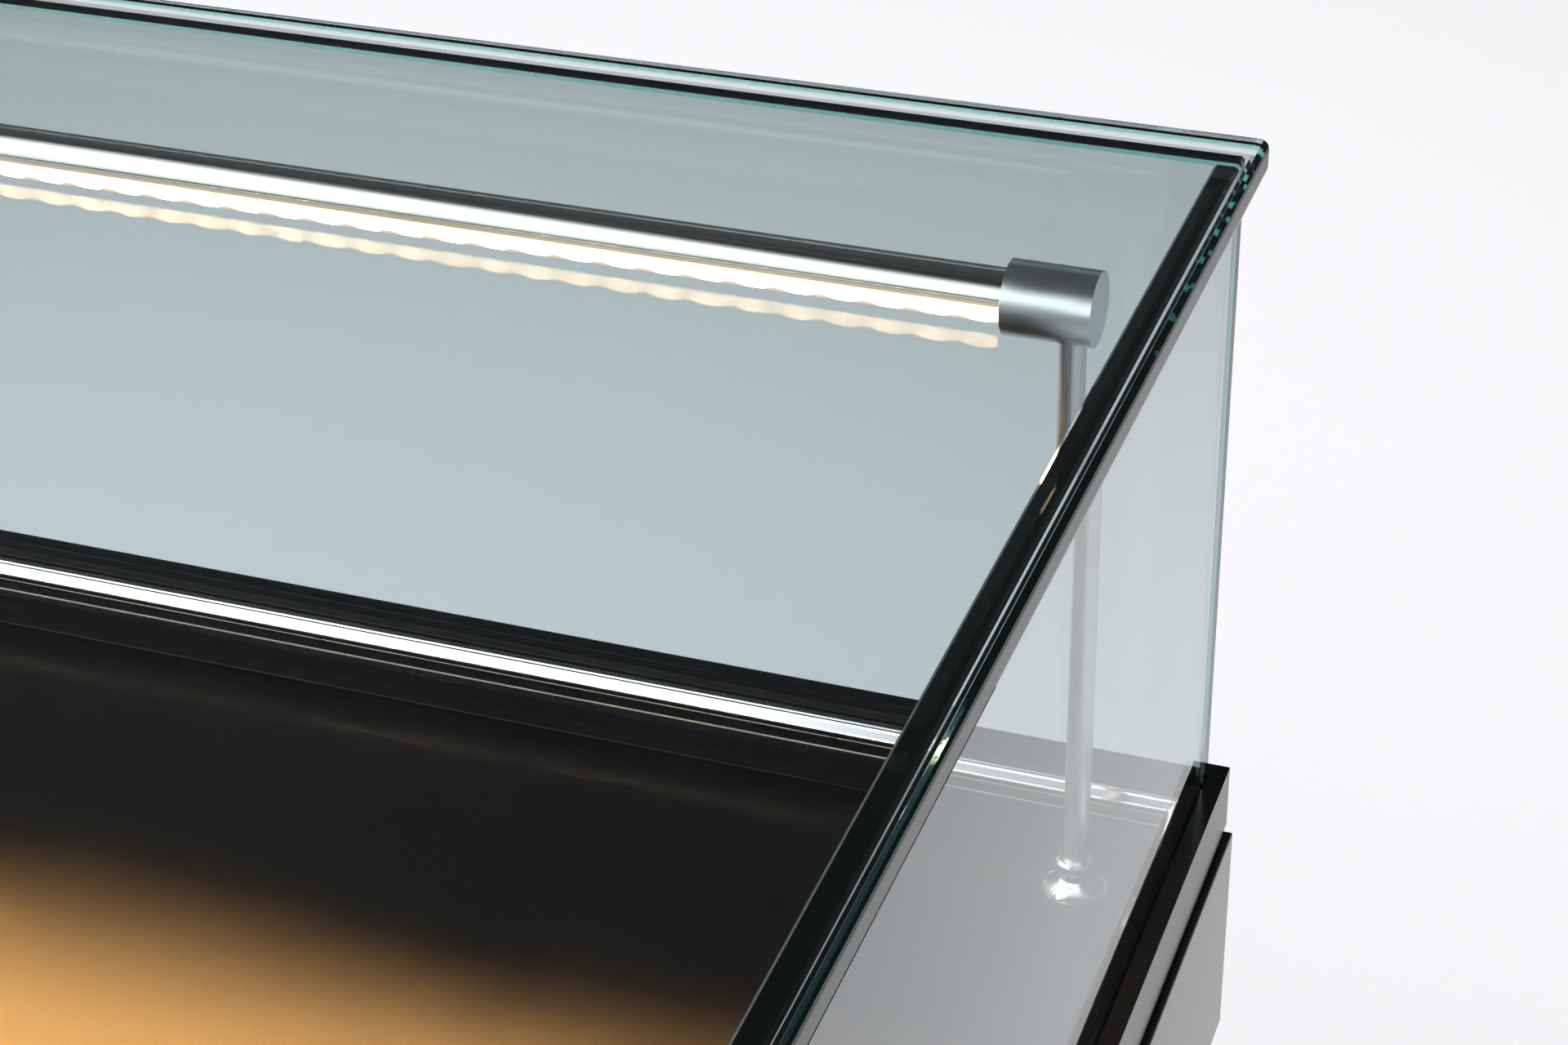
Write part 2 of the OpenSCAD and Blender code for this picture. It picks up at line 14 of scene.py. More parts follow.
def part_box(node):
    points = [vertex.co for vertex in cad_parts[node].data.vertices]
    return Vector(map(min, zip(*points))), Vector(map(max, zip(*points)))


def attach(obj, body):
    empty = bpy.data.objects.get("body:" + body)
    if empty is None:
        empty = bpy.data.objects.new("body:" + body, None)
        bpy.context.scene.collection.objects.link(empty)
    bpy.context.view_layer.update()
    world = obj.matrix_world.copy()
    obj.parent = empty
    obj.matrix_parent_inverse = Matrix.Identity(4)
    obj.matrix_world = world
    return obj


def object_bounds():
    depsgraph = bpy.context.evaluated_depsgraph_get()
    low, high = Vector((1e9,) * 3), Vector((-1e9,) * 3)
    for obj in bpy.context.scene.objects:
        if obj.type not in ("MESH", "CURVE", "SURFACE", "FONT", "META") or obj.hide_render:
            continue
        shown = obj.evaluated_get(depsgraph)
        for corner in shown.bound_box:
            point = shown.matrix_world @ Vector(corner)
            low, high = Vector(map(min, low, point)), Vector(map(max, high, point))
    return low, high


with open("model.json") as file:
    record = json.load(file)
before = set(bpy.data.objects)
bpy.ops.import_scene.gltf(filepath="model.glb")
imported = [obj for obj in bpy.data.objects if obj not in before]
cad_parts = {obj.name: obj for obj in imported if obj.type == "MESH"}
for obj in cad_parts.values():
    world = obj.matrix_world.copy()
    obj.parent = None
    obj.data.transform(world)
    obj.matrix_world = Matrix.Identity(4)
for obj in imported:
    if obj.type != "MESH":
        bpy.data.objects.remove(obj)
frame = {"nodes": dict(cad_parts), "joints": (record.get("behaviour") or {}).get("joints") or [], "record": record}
NODES = frame["nodes"]
cad_low, cad_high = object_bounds()

MM = 0.001

# ---------------------------------------------------------------- camera

CAMERA_AZIMUTH = math.radians(20.313)
CAMERA_ELEVATION = math.radians(31.534)
CAMERA_ROLL = math.radians(-1.303)
CAMERA_LENS_MM = 73.33
CAMERA_SENSOR_MM = 36.0
CAMERA_CLIP = (0.02, 100.0)
# Where the camera stands, from the top glass's customer-side right corner
CAMERA_FROM_CORNER = Vector((0.2115, -1.124, 0.522))


def make_camera():
    sin_a, cos_a = math.sin(CAMERA_AZIMUTH), math.cos(CAMERA_AZIMUTH)
    sin_e, cos_e = math.sin(CAMERA_ELEVATION), math.cos(CAMERA_ELEVATION)
    forward = Vector((-sin_a * cos_e, cos_a * cos_e, -sin_e))
    level_right = Vector((cos_a, sin_a, 0.0))
    level_up = level_right.cross(forward)
    right = level_right * math.cos(CAMERA_ROLL) + level_up * math.sin(CAMERA_ROLL)
    up = level_up * math.cos(CAMERA_ROLL) - level_right * math.sin(CAMERA_ROLL)
    data = bpy.data.cameras.new("camera")
    data.lens = CAMERA_LENS_MM
    data.sensor_width = CAMERA_SENSOR_MM
    data.clip_start, data.clip_end = CAMERA_CLIP
    camera = bpy.data.objects.new("camera", data)
    turn = Matrix((right, up, -forward)).transposed().to_4x4()
    camera.matrix_world = Matrix.Translation(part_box("glass_top")[1] + CAMERA_FROM_CORNER) @ turn
    bpy.context.scene.collection.objects.link(camera)
    bpy.context.scene.camera = camera


make_camera()

# ---------------------------------------------------------------- node helpers


def add(tree, kind, inputs=None, **settings):
    """A new node. A value in inputs is a socket to link from, or the input's own value."""
    node = tree.nodes.new(kind)
    for key, value in settings.items():
        setattr(node, key, value)
    for key, value in (inputs or {}).items():
        if isinstance(value, bpy.types.NodeSocket):
            tree.links.new(value, node.inputs[key])
        else:
            node.inputs[key].default_value = value
    return node


def math_node(tree, operation, a, b=0.0, clamp=False):
    return add(tree, "ShaderNodeMath", {0: a, 1: b}, operation=operation, use_clamp=clamp).outputs[0]


def new_material(name):
    material = bpy.data.materials.new(name)
    material.use_nodes = True
    material.node_tree.nodes.clear()
    return material, material.node_tree


def finish_material(tree, surface, volume=None):
    out = add(tree, "ShaderNodeOutputMaterial")
    tree.links.new(surface, out.inputs["Surface"])
    if volume is not None:
        tree.links.new(volume, out.inputs["Volume"])


def object_point(tree, scale=(1, 1, 1)):
    """The piece's own coordinates in metres, stretched by scale."""
    place = add(tree, "ShaderNodeTexCoord").outputs["Object"]
    return add(tree, "ShaderNodeMapping", {"Vector": place, "Scale": scale}).outputs[0]


def noise(tree, scale, stretch=(1, 1, 1), detail=3.0, roughness=0.5):
    point = object_point(tree, stretch)
    return add(tree, "ShaderNodeTexNoise",
               {"Vector": point, "Scale": scale, "Detail": detail, "Roughness": roughness}).outputs["Fac"]


def spread(tree, value, low, high, from_low=0.3, from_high=0.7, curve="LINEAR"):
    """Maps a value, a noise value if no range is given for it, to a range along a curve."""
    return add(tree, "ShaderNodeMapRange",
               {"Value": value, "From Min": from_low, "From Max": from_high,
                "To Min": low, "To Max": high}, interpolation_type=curve).outputs[0]


def blend_colours(tree, factor, a, b):
    return add(tree, "ShaderNodeMix", {0: factor, 6: a, 7: b}, data_type="RGBA").outputs[2]


def bump(tree, height, distance):
    return add(tree, "ShaderNodeBump",
               {"Height": height, "Distance": distance, "Strength": 1.0}).outputs[0]


def opaque(colour, times=1.0):
    return tuple(channel * times for channel in colour) + (1.0,)


def grey(value):
    return opaque((value, value, value))


# ---------------------------------------------------------------- materials

GLASS_IOR = 1.52
# Each glass: the colour left by its body, and how fast the body takes the rest
TOP_BODY = ((0.28, 0.55, 0.57, 1.0), 12.0)
FRONT_BODY = ((0.18, 0.50, 0.53, 1.0), 32.0)
END_BODY = ((0.30, 0.50, 0.54, 1.0), 20.0)
DOOR_BODY = ((0.12, 0.50, 0.52, 1.0), 20.0)
EDGE_COLOUR = (0.16, 0.50, 0.45, 1.0)
EDGE_CLEARNESS = 0.98
# A face whose normal lies closer to the thickness than this cosine is a clear face, not an edge
FACE_COSINE = 0.98
WHEEL_SCALE = 420.0
WHEEL_DEPTH = 0.01 * MM
# Painted reflection streaks on the edge faces: their scale, slant, range and colour
STROKE_SCALE = 260.0
STROKE_SLANT = math.radians(24)
STROKE_RANGE = (0.42, 0.72)
PAINTED_STREAK_COLOUR = (0.10, 0.40, 0.34, 1.0)


def glass_material(name, thickness_axis, tint, density):
    """Float glass: clear faces, ground and polished edges, and a green body that darkens with depth."""
    material, tree = new_material(name)
    normal = add(tree, "ShaderNodeSeparateXYZ", {0: add(tree, "ShaderNodeTexCoord").outputs["Normal"]})
    across = math_node(tree, "ABSOLUTE", normal.outputs["XYZ".index(thickness_axis)])
    edge = math_node(tree, "LESS_THAN", across, FACE_COSINE)
    wheel_marks = noise(tree, WHEEL_SCALE, (1, 1, 0.02), detail=3.0)
    marks = bump(tree, math_node(tree, "MULTIPLY", wheel_marks, edge), WHEEL_DEPTH)
    # Slanting strokes, a little darker than the rest of the edge: painted streaks that stand for reflections along
    # the pane's edge
    turned = add(tree, "ShaderNodeMapping",
                 {"Vector": add(tree, "ShaderNodeTexCoord").outputs["Object"],
                  "Rotation": (0, 0, STROKE_SLANT), "Scale": (1, 0.01, 0.01)}).outputs[0]
    strokes = add(tree, "ShaderNodeTexNoise",
                  {"Vector": turned, "Scale": STROKE_SCALE, "Detail": 3.0, "Roughness": 0.6}).outputs["Fac"]
    stroke = spread(tree, strokes, 0.0, 1.0, *STROKE_RANGE)
    edge_colour = blend_colours(tree, stroke, EDGE_COLOUR, PAINTED_STREAK_COLOUR)
    surface = add(tree, "ShaderNodeBsdfPrincipled",
                  {"Base Color": blend_colours(tree, edge, (1, 1, 1, 1), edge_colour),
                   "Roughness": 0.0, "IOR": GLASS_IOR,
                   "Transmission Weight": spread(tree, edge, 1.0, EDGE_CLEARNESS, 0.0, 1.0),
                   "Normal": marks})
    body = add(tree, "ShaderNodeVolumeAbsorption", {"Color": tint, "Density": density})
    finish_material(tree, surface.outputs[0], body.outputs[0])
    return material


def metal_material(name, colour, rough, grain_scale, grain_stretch, grain_depth,
                   anisotropic=0.0, tangent_axis=None, dark=0.85, turn=0.0):
    """Metal with a grain along the axes where grain_stretch is small, and dark times its colour in it."""
    material, tree = new_material(name)
    grain = noise(tree, grain_scale, grain_stretch, detail=4.0, roughness=0.65)
    shade = blend_colours(tree, spread(tree, grain, 0.0, 1.0), opaque(colour, dark), opaque(colour))
    inputs = {"Base Color": shade, "Metallic": 1.0, "Roughness": spread(tree, grain, *rough),
              "Normal": bump(tree, grain, grain_depth), "Anisotropic": anisotropic,
              "Anisotropic Rotation": turn}
    if tangent_axis:
        inputs["Tangent"] = add(tree, "ShaderNodeTangent", direction_type="RADIAL",
                                axis=tangent_axis).outputs[0]
    surface = add(tree, "ShaderNodeBsdfPrincipled", inputs)
    finish_material(tree, surface.outputs[0])
    return material


def coated_material(name, colour, rough, peel_scale, peel_depth, ior=1.5, lift=0.006):
    """Paint, anodising, lacquer or plastic: a dark or light body under a reflecting skin."""
    material, tree = new_material(name)
    peel = noise(tree, peel_scale, detail=2.0)
    cloud = noise(tree, 6.0, detail=4.0)
    lighter = tuple(channel + lift for channel in colour) + (1.0,)
    body = blend_colours(tree, spread(tree, cloud, 0.0, 1.0), opaque(colour), lighter)
    surface = add(tree, "ShaderNodeBsdfPrincipled",
                  {"Base Color": body, "Roughness": spread(tree, cloud, *rough), "IOR": ior,
                   "Normal": bump(tree, peel, peel_depth)})
    finish_material(tree, surface.outputs[0])
    return material


# The light's opening faces the staff side, tilted down, and is this wide to each lip
LED_TILT = math.radians(42)
LIP_HALF = 7.75 * MM


def across_opening(tree, axis_point):
    """The place along the bar, up from the middle line of its opening, and outwards through it."""
    place = add(tree, "ShaderNodeSeparateXYZ", {0: add(tree, "ShaderNodeTexCoord").outputs["Object"]})
    y = math_node(tree, "SUBTRACT", place.outputs[1], axis_point[1])
    z = math_node(tree, "SUBTRACT", place.outputs[2], axis_point[2])
    sin_t, cos_t = math.sin(LED_TILT), math.cos(LED_TILT)

    def weighted(y_weight, z_weight):
        return math_node(tree, "ADD", math_node(tree, "MULTIPLY", y, y_weight),
                         math_node(tree, "MULTIPLY", z, z_weight))

    return place.outputs[0], weighted(-sin_t, cos_t), weighted(-cos_t, -sin_t)


# Strength and colour between the diodes and at them
LED_PITCH = 18.7 * MM
LED_LOW = 70.0
LED_HIGH = 112.0
LED_WARM = (1.0, 0.52, 0.24, 1.0)
LED_CORE = (1.0, 0.60, 0.31, 1.0)
LED_RIM = (0.95, 0.62, 0.36, 1.0)
LED_RIM_STRENGTH = 1.0
# How far the lit band goes from the middle line: up, and down between and at the diodes
LED_UPPER_REACH = 6.8 * MM
LED_LOWER_REACH = (-1.4 * MM, 3.3 * MM)
LED_FADE = 0.7 * MM
# In its first soft reflection, as on the deck, the light is warmer and stronger than in a direct view
BEAM_COLOUR = (1.0, 0.50, 0.145, 1.0)
BEAM_STRENGTH = 6.8


def led_cover_material(name, axis_point):
    """The lit cover: a hot spot over every diode, fading to a dim amber along both rims."""
    material, tree = new_material(name)
    along, up, _ = across_opening(tree, axis_point)
    turns = math_node(tree, "MULTIPLY", along, 2 * math.pi / LED_PITCH)
    spot = spread(tree, math_node(tree, "COSINE", turns), 0.0, 1.0, -1.0, 1.0, "SMOOTHSTEP")
    lower_reach = spread(tree, spot, *LED_LOWER_REACH, 0.0, 1.0)
    margins = (math_node(tree, "ADD", lower_reach, up), math_node(tree, "SUBTRACT", LED_UPPER_REACH, up))
    fades = [spread(tree, margin, 0.0, 1.0, -LED_FADE, LED_FADE, "SMOOTHERSTEP") for margin in margins]
    inside = math_node(tree, "MULTIPLY", *fades)
    path = add(tree, "ShaderNodeLightPath").outputs
    soft = math_node(tree, "SUBTRACT", path["Is Glossy Ray"], path["Is Singular Ray"], clamp=True)
    beam = math_node(tree, "MULTIPLY", soft, math_node(tree, "LESS_THAN", path["Glossy Depth"], 1.5))
    power = math_node(tree, "MULTIPLY", spread(tree, spot, LED_LOW, LED_HIGH, 0.0, 1.0),
                      spread(tree, beam, 1.0, BEAM_STRENGTH, 0.0, 1.0))
    lit = blend_colours(tree, beam, blend_colours(tree, spot, LED_WARM, LED_CORE), BEAM_COLOUR)
    strength = math_node(tree, "MULTIPLY", power, inside)
    surface = add(tree, "ShaderNodeBsdfPrincipled",
                  {"Base Color": (0.9, 0.85, 0.75, 1.0), "Roughness": 0.25,
                   "Emission Color": blend_colours(tree, inside, LED_RIM, lit),
                   "Emission Strength": math_node(tree, "ADD", strength, LED_RIM_STRENGTH)})
    finish_material(tree, surface.outputs[0])
    return material


# A painted glow on the tube's lips, standing for the diodes' light caught there: its colour, its strength over the
# grain, and how far it reaches past a lip
PAINTED_LIP_GLOW_COLOUR = (0.80, 0.50, 0.24, 1.0)
PAINTED_LIP_GLOW_STRENGTH = (0.55, 0.95)
PAINTED_LIP_GLOW_REACH = 1.5 * MM
TUBE_COLOUR = (0.90, 0.88, 0.84)
TUBE_DARK = 0.82
TUBE_ROUGH = (0.07, 0.13)
TUBE_GRAIN = (1600, (0.006, 1, 1))
TUBE_GRAIN_DEPTH = 0.004 * MM


def tube_material(name, axis_point):
    """Drawn tube, with a painted warm glow on the rounded lips of its slot that stands for the diodes' light
    caught there.
    """
    material, tree = new_material(name)
    grain = noise(tree, *TUBE_GRAIN, detail=4.0, roughness=0.65)
    _, up, out = across_opening(tree, axis_point)
    # Painted glow: the steel emits a warm light within a short reach of each lip, on the side that faces out of
    # the opening
    past_lip = math_node(tree, "SUBTRACT", math_node(tree, "ABSOLUTE", up), LIP_HALF)
    near_lip = spread(tree, past_lip, 1.0, 0.0, 0.0, PAINTED_LIP_GLOW_REACH)
    painted_lip_glow = math_node(tree, "MULTIPLY", near_lip, math_node(tree, "GREATER_THAN", out, 0.0))
    strength = math_node(tree, "MULTIPLY", painted_lip_glow, spread(tree, grain, *PAINTED_LIP_GLOW_STRENGTH))
    darker = opaque(TUBE_COLOUR, TUBE_DARK)
    steel = blend_colours(tree, spread(tree, grain, 0.0, 1.0), darker, opaque(TUBE_COLOUR))
    surface = add(tree, "ShaderNodeBsdfPrincipled",
                  {"Base Color": steel, "Metallic": 1.0, "Roughness": spread(tree, grain, *TUBE_ROUGH),
                   "Normal": bump(tree, grain, TUBE_GRAIN_DEPTH),
                   "Emission Color": PAINTED_LIP_GLOW_COLOUR, "Emission Strength": strength})
    finish_material(tree, surface.outputs[0])
    return material


DECK_GLEAM = (0.036, 0.035, 0.034, 1.0)
DECK_GLOSS = (0.32, 0.35)
DECK_BODY = (grey(0.0025), grey(0.004))
DECK_RELIEF = 0.02 * MM
# Specks of dust: cells to the metre, the soft edge of a speck, and the cells that hold one
DUST_CELLS = 42.0
DUST_EDGE = (0.012, 0.022)
DUST_FROM = 0.82
DUST_COLOUR = grey(0.12)


def deck_material(name):
    """Satin black laminate: a dark body, a soft gleam with no haze round it, and a few specks of dust."""
    material, tree = new_material(name)
    cells = add(tree, "ShaderNodeTexVoronoi", {"Vector": object_point(tree), "Scale": DUST_CELLS})
    speck = spread(tree, cells.outputs["Distance"], 1.0, 0.0, *DUST_EDGE)
    pick = add(tree, "ShaderNodeSeparateColor", {0: cells.outputs["Color"]}).outputs[0]
    dust = math_node(tree, "MULTIPLY", speck, math_node(tree, "GREATER_THAN", pick, DUST_FROM))
    cloud = noise(tree, 5.0, detail=5.0)
    body = blend_colours(tree, spread(tree, cloud, 0.0, 1.0), *DECK_BODY)
    texture = bump(tree, noise(tree, 1400, detail=2.0), DECK_RELIEF)
    surface = add(tree, "ShaderNodeBsdfPrincipled",
                  {"Base Color": blend_colours(tree, dust, body, DUST_COLOUR),
                   "Roughness": spread(tree, cloud, 0.5, 0.6), "Specular IOR Level": 0.0,
                   "Normal": texture})
    gleam = add(tree, "ShaderNodeBsdfAnisotropic",
                {"Color": DECK_GLEAM, "Roughness": spread(tree, cloud, *DECK_GLOSS), "Normal": texture},
                distribution="BECKMANN")
    both = add(tree, "ShaderNodeAddShader", {0: surface.outputs[0], 1: gleam.outputs[0]})
    finish_material(tree, both.outputs[0])
    return material


BAR_AXIS = next(joint["pos_m"] for joint in frame["joints"] if joint["name"] == "light_bar_turn")

# name: colour, lowest and highest roughness, scale of the fine relief in the skin, and its depth,
# then, where they aren't the usual ones, the index of refraction and how much lighter the pale patches are
COATINGS = {
    "stand_black": ((0.012, 0.012, 0.013), (0.38, 0.5), 900, 0.15 * MM),
    "pan_black": ((0.012, 0.012, 0.013), (0.38, 0.5), 900, 0.15 * MM),
    "skirt_black": ((0.008, 0.008, 0.010), (0.06, 0.1), 120, 0.04 * MM),
    "rail_black": ((0.007, 0.007, 0.008), (0.14, 0.2), 300, 0.02 * MM, 1.36),
    "track_black": ((0.012, 0.012, 0.013), (0.3, 0.36), 300, 0.02 * MM),
    "board_wood": ((0.42, 0.30, 0.18), (0.7, 0.85), 300, 0.4 * MM, 1.5, 0.08),
    "driver_white": ((0.75, 0.76, 0.77), (0.4, 0.5), 900, 0.1 * MM),
    "led_board": ((0.8, 0.8, 0.77), (0.4, 0.5), 900, 0.1 * MM),
    "black_plastic": ((0.015, 0.015, 0.015), (0.4, 0.5), 900, 0.1 * MM),
    "rubber_black": ((0.012, 0.012, 0.012), (0.6, 0.75), 700, 0.2 * MM),
}
# name: colour, lowest and highest roughness, then the grain's scale, stretch and depth
METALS = {
    "foot_steel": ((0.62, 0.62, 0.63), (0.25, 0.4), 60, (1, 1, 8), 0.03 * MM),
    "zinc_fasteners": ((0.6, 0.6, 0.62), (0.25, 0.4), 300, (1, 1, 1), 0.03 * MM),
    "polished_metal": ((0.95, 0.95, 0.95), (0.10, 0.16), 300, (0.02, 1, 1), 0.002 * MM),
    "lock_chrome": ((0.8, 0.8, 0.81), (0.06, 0.12), 200, (1, 1, 1), 0.01 * MM),
}

MATERIALS = {
    "clear_glass": glass_material("clear_glass", "Z", *TOP_BODY),
    "end_glass": glass_material("end_glass", "X", *END_BODY),
    "front_glass": glass_material("front_glass", "Y", *FRONT_BODY),
    "door_glass": glass_material("door_glass", "Y", *DOOR_BODY),
    "deck_black": deck_material("deck_black"),
    "tube_steel": tube_material("tube_steel", BAR_AXIS),
    "led_cover": led_cover_material("led_cover", BAR_AXIS),
    "connector_aluminium": metal_material("connector_aluminium", (0.86, 0.88, 0.90), (0.27, 0.33),
                                          5200, (1, 0.004, 0.004), 0.0006 * MM,
                                          anisotropic=0.35, tangent_axis="X", dark=0.93),
    "post_chrome": metal_material("post_chrome", (0.94, 0.95, 0.97), (0.26, 0.34),
                                  900, (1, 1, 0.02), 0.002 * MM,
                                  anisotropic=0.85, tangent_axis="Z", turn=0.25),
}
for coating, look in COATINGS.items():
    MATERIALS[coating] = coated_material(coating, *look)
for metal, look in METALS.items():
    MATERIALS[metal] = metal_material(metal, *look)

SLOT_OF = {entry["node"]: entry["material_slot"] for entry in frame["record"]["subparts"]}

# The panes differ by the direction of their thickness, and the flanges are brighter than the posts
MATERIAL_OF = dict(SLOT_OF, glass_left="end_glass", glass_right="end_glass", glass_customer="front_glass",
                   post_flanges="lock_chrome")

for node_name, node_object in NODES.items():
    node_object.data.materials.clear()
    node_object.data.materials.append(MATERIALS[MATERIAL_OF[node_name]])

# ---------------------------------------------------------------- edges of the CAD pieces

# Widths of the softened edges, in millimetres
EDGE_WIDTH = {
    "glass_top": 3.9, "glass_customer": 1.3, "glass_left": 1.3, "glass_right": 1.3,
    "door_glass_left": 0.6, "door_glass_right": 0.6,
    "rail_customer": 0.25, "rail_staff": 0.25, "rail_left": 0.25, "rail_right": 0.25,
    "connector_left": 0.35, "connector_right": 0.35, "deck_edge_trim": 0.2, "polished_strip": 0.6,
    "door_track_bottom": 0.25, "door_track_top": 0.25,
}
for part in ("leg_customer_left", "leg_customer_right", "leg_staff_left", "leg_staff_right",
             "stand_rail_customer", "stand_rail_staff", "stand_end_rails", "side_stretchers",
             "long_stretcher"):
    EDGE_WIDTH[part] = 1.5
WELD_WITHIN = 0.01 * MM
SHARP_FROM = math.radians(35)
# A narrower edge is one flat, and a wider one is round
ROUND_FROM_MM = 1.4
ROUND_SEGMENTS = 4
# The top glass's wide edge would be clamped to the short segments of its rounded corners
UNCLAMPED_FROM_MM = 2.0


def soften_edges(obj, width_mm):
    weld = obj.modifiers.new("weld", "WELD")
    weld.merge_threshold = WELD_WITHIN
    bevel = obj.modifiers.new("bevel", "BEVEL")
    bevel.width = width_mm * MM
    bevel.segments = 1 if width_mm < ROUND_FROM_MM else ROUND_SEGMENTS
    bevel.limit_method = "ANGLE"
    bevel.angle_limit = SHARP_FROM
    bevel.use_clamp_overlap = width_mm < UNCLAMPED_FROM_MM
    bevel.loop_slide = False
    bevel.harden_normals = False


for part, width in EDGE_WIDTH.items():
    soften_edges(NODES[part], width)
for part in EDGE_WIDTH:
    if part.startswith(("glass", "door_glass")):
        NODES[part].data.shade_flat()

# ---------------------------------------------------------------- fine pieces

EMBED = 0.3 * MM


def mesh_piece(name, points, faces, slot_name, body):
    """A closed mesh in the row frame that rides on a body and takes its finish from a slot."""
    mesh = bpy.data.meshes.new(name)
    mesh.from_pydata(points, [], faces)
    tidy = bmesh.new()
    tidy.from_mesh(mesh)
    bmesh.ops.recalc_face_normals(tidy, faces=tidy.faces)
    tidy.to_mesh(mesh)
    tidy.free()
    mesh.materials.append(MATERIALS[slot_name])
    obj = bpy.data.objects.new(name, mesh)
    bpy.context.scene.collection.objects.link(obj)
    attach(obj, body)
    return obj


def ring_faces(rings, sides, closed):
    """Faces between rings of points, with caps at the ends of an open run."""
    faces = []
    for ring in range(rings if closed else rings - 1):
        here, there = ring * sides, (ring + 1) % rings * sides
        for side in range(sides):
            after = (side + 1) % sides
            faces.append((here + side, here + after, there + after, there + side))
    if not closed:
        faces.append(tuple(range(sides)))
        faces.append(tuple((rings - 1) * sides + side for side in range(sides)))
    return faces


# Fine bead lines in the two grooves round the inside of the rail: drop below its top, and radius
PINLINES = {"pinline_fine": (11.0 * MM, 0.16 * MM), "pinline_bold": (17.0 * MM, 0.32 * MM)}
PINLINE_STEPS = 6
PINLINE_FLATNESS = 0.45
PINLINE_END_GAP = MM


def make_pinline(name, drop, radius):
    rail_low, rail_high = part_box("rail_customer")
    inner_y, top = rail_low[1], rail_high[2]
    inner_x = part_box("rail_right")[0][0]
    section = [(-EMBED, radius)]
    for step in range(PINLINE_STEPS + 1):
        angle = math.pi * (0.5 - step / PINLINE_STEPS)
        section.append((PINLINE_FLATNESS * radius * math.cos(angle), radius * math.sin(angle)))
    section.append((-EMBED, -radius))
    # Along the left side, the customer's side and the right side, and open to the doors
    corners = ((-1, -1), (-1, 1), (1, 1), (1, -1))
    points = []
    for sx, sy in corners:
        for proud, up in section:
            y = inner_y - proud if sy > 0 else PINLINE_END_GAP - inner_y
            points.append((sx * (inner_x - proud), y, top - drop + up))
    mesh_piece(name, points, ring_faces(4, len(section), False), "foot_steel", "case")


for line_name, (line_drop, line_radius) in PINLINES.items():
    make_pinline(line_name, line_drop, line_radius)

# Brush seal between the doors, in two lengths that pass above and below the other door's pull
BRUSH_WIDTH = 4.8 * MM
BRUSH_BACK = 1.2 * MM
BRUSH_REACH = 6.5 * MM
BRUSH_INSET = 0.5 * MM
BRUSH_BACK_TAPER = 0.2 * MM
TUFT_INSET = 0.5 * MM
TUFT_ROOT = 0.1 * MM
TUFT_START = 0.6
TUFT_SIZE = 0.9 * MM
TUFT_PITCH = 1.2 * MM
TUFT_COLUMN_PITCH = 1.3 * MM
TUFT_COLUMNS = 3
TUFT_STAGGER = 0.3 * MM
TUFT_TAPER = 0.18 * MM
PULL_CLEARANCE = 6 * MM
DOOR_END_CLEARANCE = (MM, 2 * MM)


def add_block(points, faces, x_range, z_range, y_range, taper):
    """A box that narrows by taper on all sides towards the far end of y_range."""
    start = len(points)
    for y, inset in zip(y_range, (0.0, taper)):
        low_x, high_x = x_range[0] + inset, x_range[1] - inset
        low_z, high_z = z_range[0] + inset, z_range[1] - inset
        points.extend([(low_x, y, low_z), (high_x, y, low_z), (high_x, y, high_z), (low_x, y, high_z)])
    for corners in ring_faces(2, 4, False):
        faces.append(tuple(start + corner for corner in corners))


def make_brush(name, low_z, high_z):
    glass_low, glass_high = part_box("door_glass_right")
    x = glass_low[0] + BRUSH_INSET
    back = glass_high[1]
    points, faces = [], []
    front = back + BRUSH_BACK
    add_block(points, faces, (x, x + BRUSH_WIDTH), (low_z, high_z), (back, front), BRUSH_BACK_TAPER)
    tuft_depth = (front - TUFT_ROOT, back + BRUSH_REACH)
    for row in range(int((high_z - low_z) / TUFT_PITCH) - 1):
        z = low_z + (row + TUFT_START) * TUFT_PITCH
        for column in range(TUFT_COLUMNS):
            edge = x + TUFT_INSET + column * TUFT_COLUMN_PITCH + (row % 2) * TUFT_STAGGER
            add_block(points, faces, (edge, edge + TUFT_SIZE), (z, z + TUFT_SIZE), tuft_depth, TUFT_TAPER)
    mesh_piece(name, points, faces, "black_plastic", "right_door")


pull_low, pull_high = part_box("door_pull_left")
shoe_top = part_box("door_shoe_right")[1][2]
track_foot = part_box("door_track_top")[0][2]
make_brush("door_brush_lower", shoe_top + DOOR_END_CLEARANCE[0], pull_low[2] - PULL_CLEARANCE)
make_brush("door_brush_upper", pull_high[2] + PULL_CLEARANCE, track_foot - DOOR_END_CLEARANCE[1])

# Welds where the side stretchers meet the legs
WELD_LEG = 3.5 * MM
WELD_RIPPLES = 14
WELD_DIP = 0.14
WELD_THROAT = 0.62


def weld_section(leg):
    """Points of the bead's section: out from the stretcher's side, and back from the leg's face."""
    return ((-EMBED, -EMBED), (leg, -EMBED), (WELD_THROAT * leg, WELD_THROAT * leg), (-EMBED, leg))


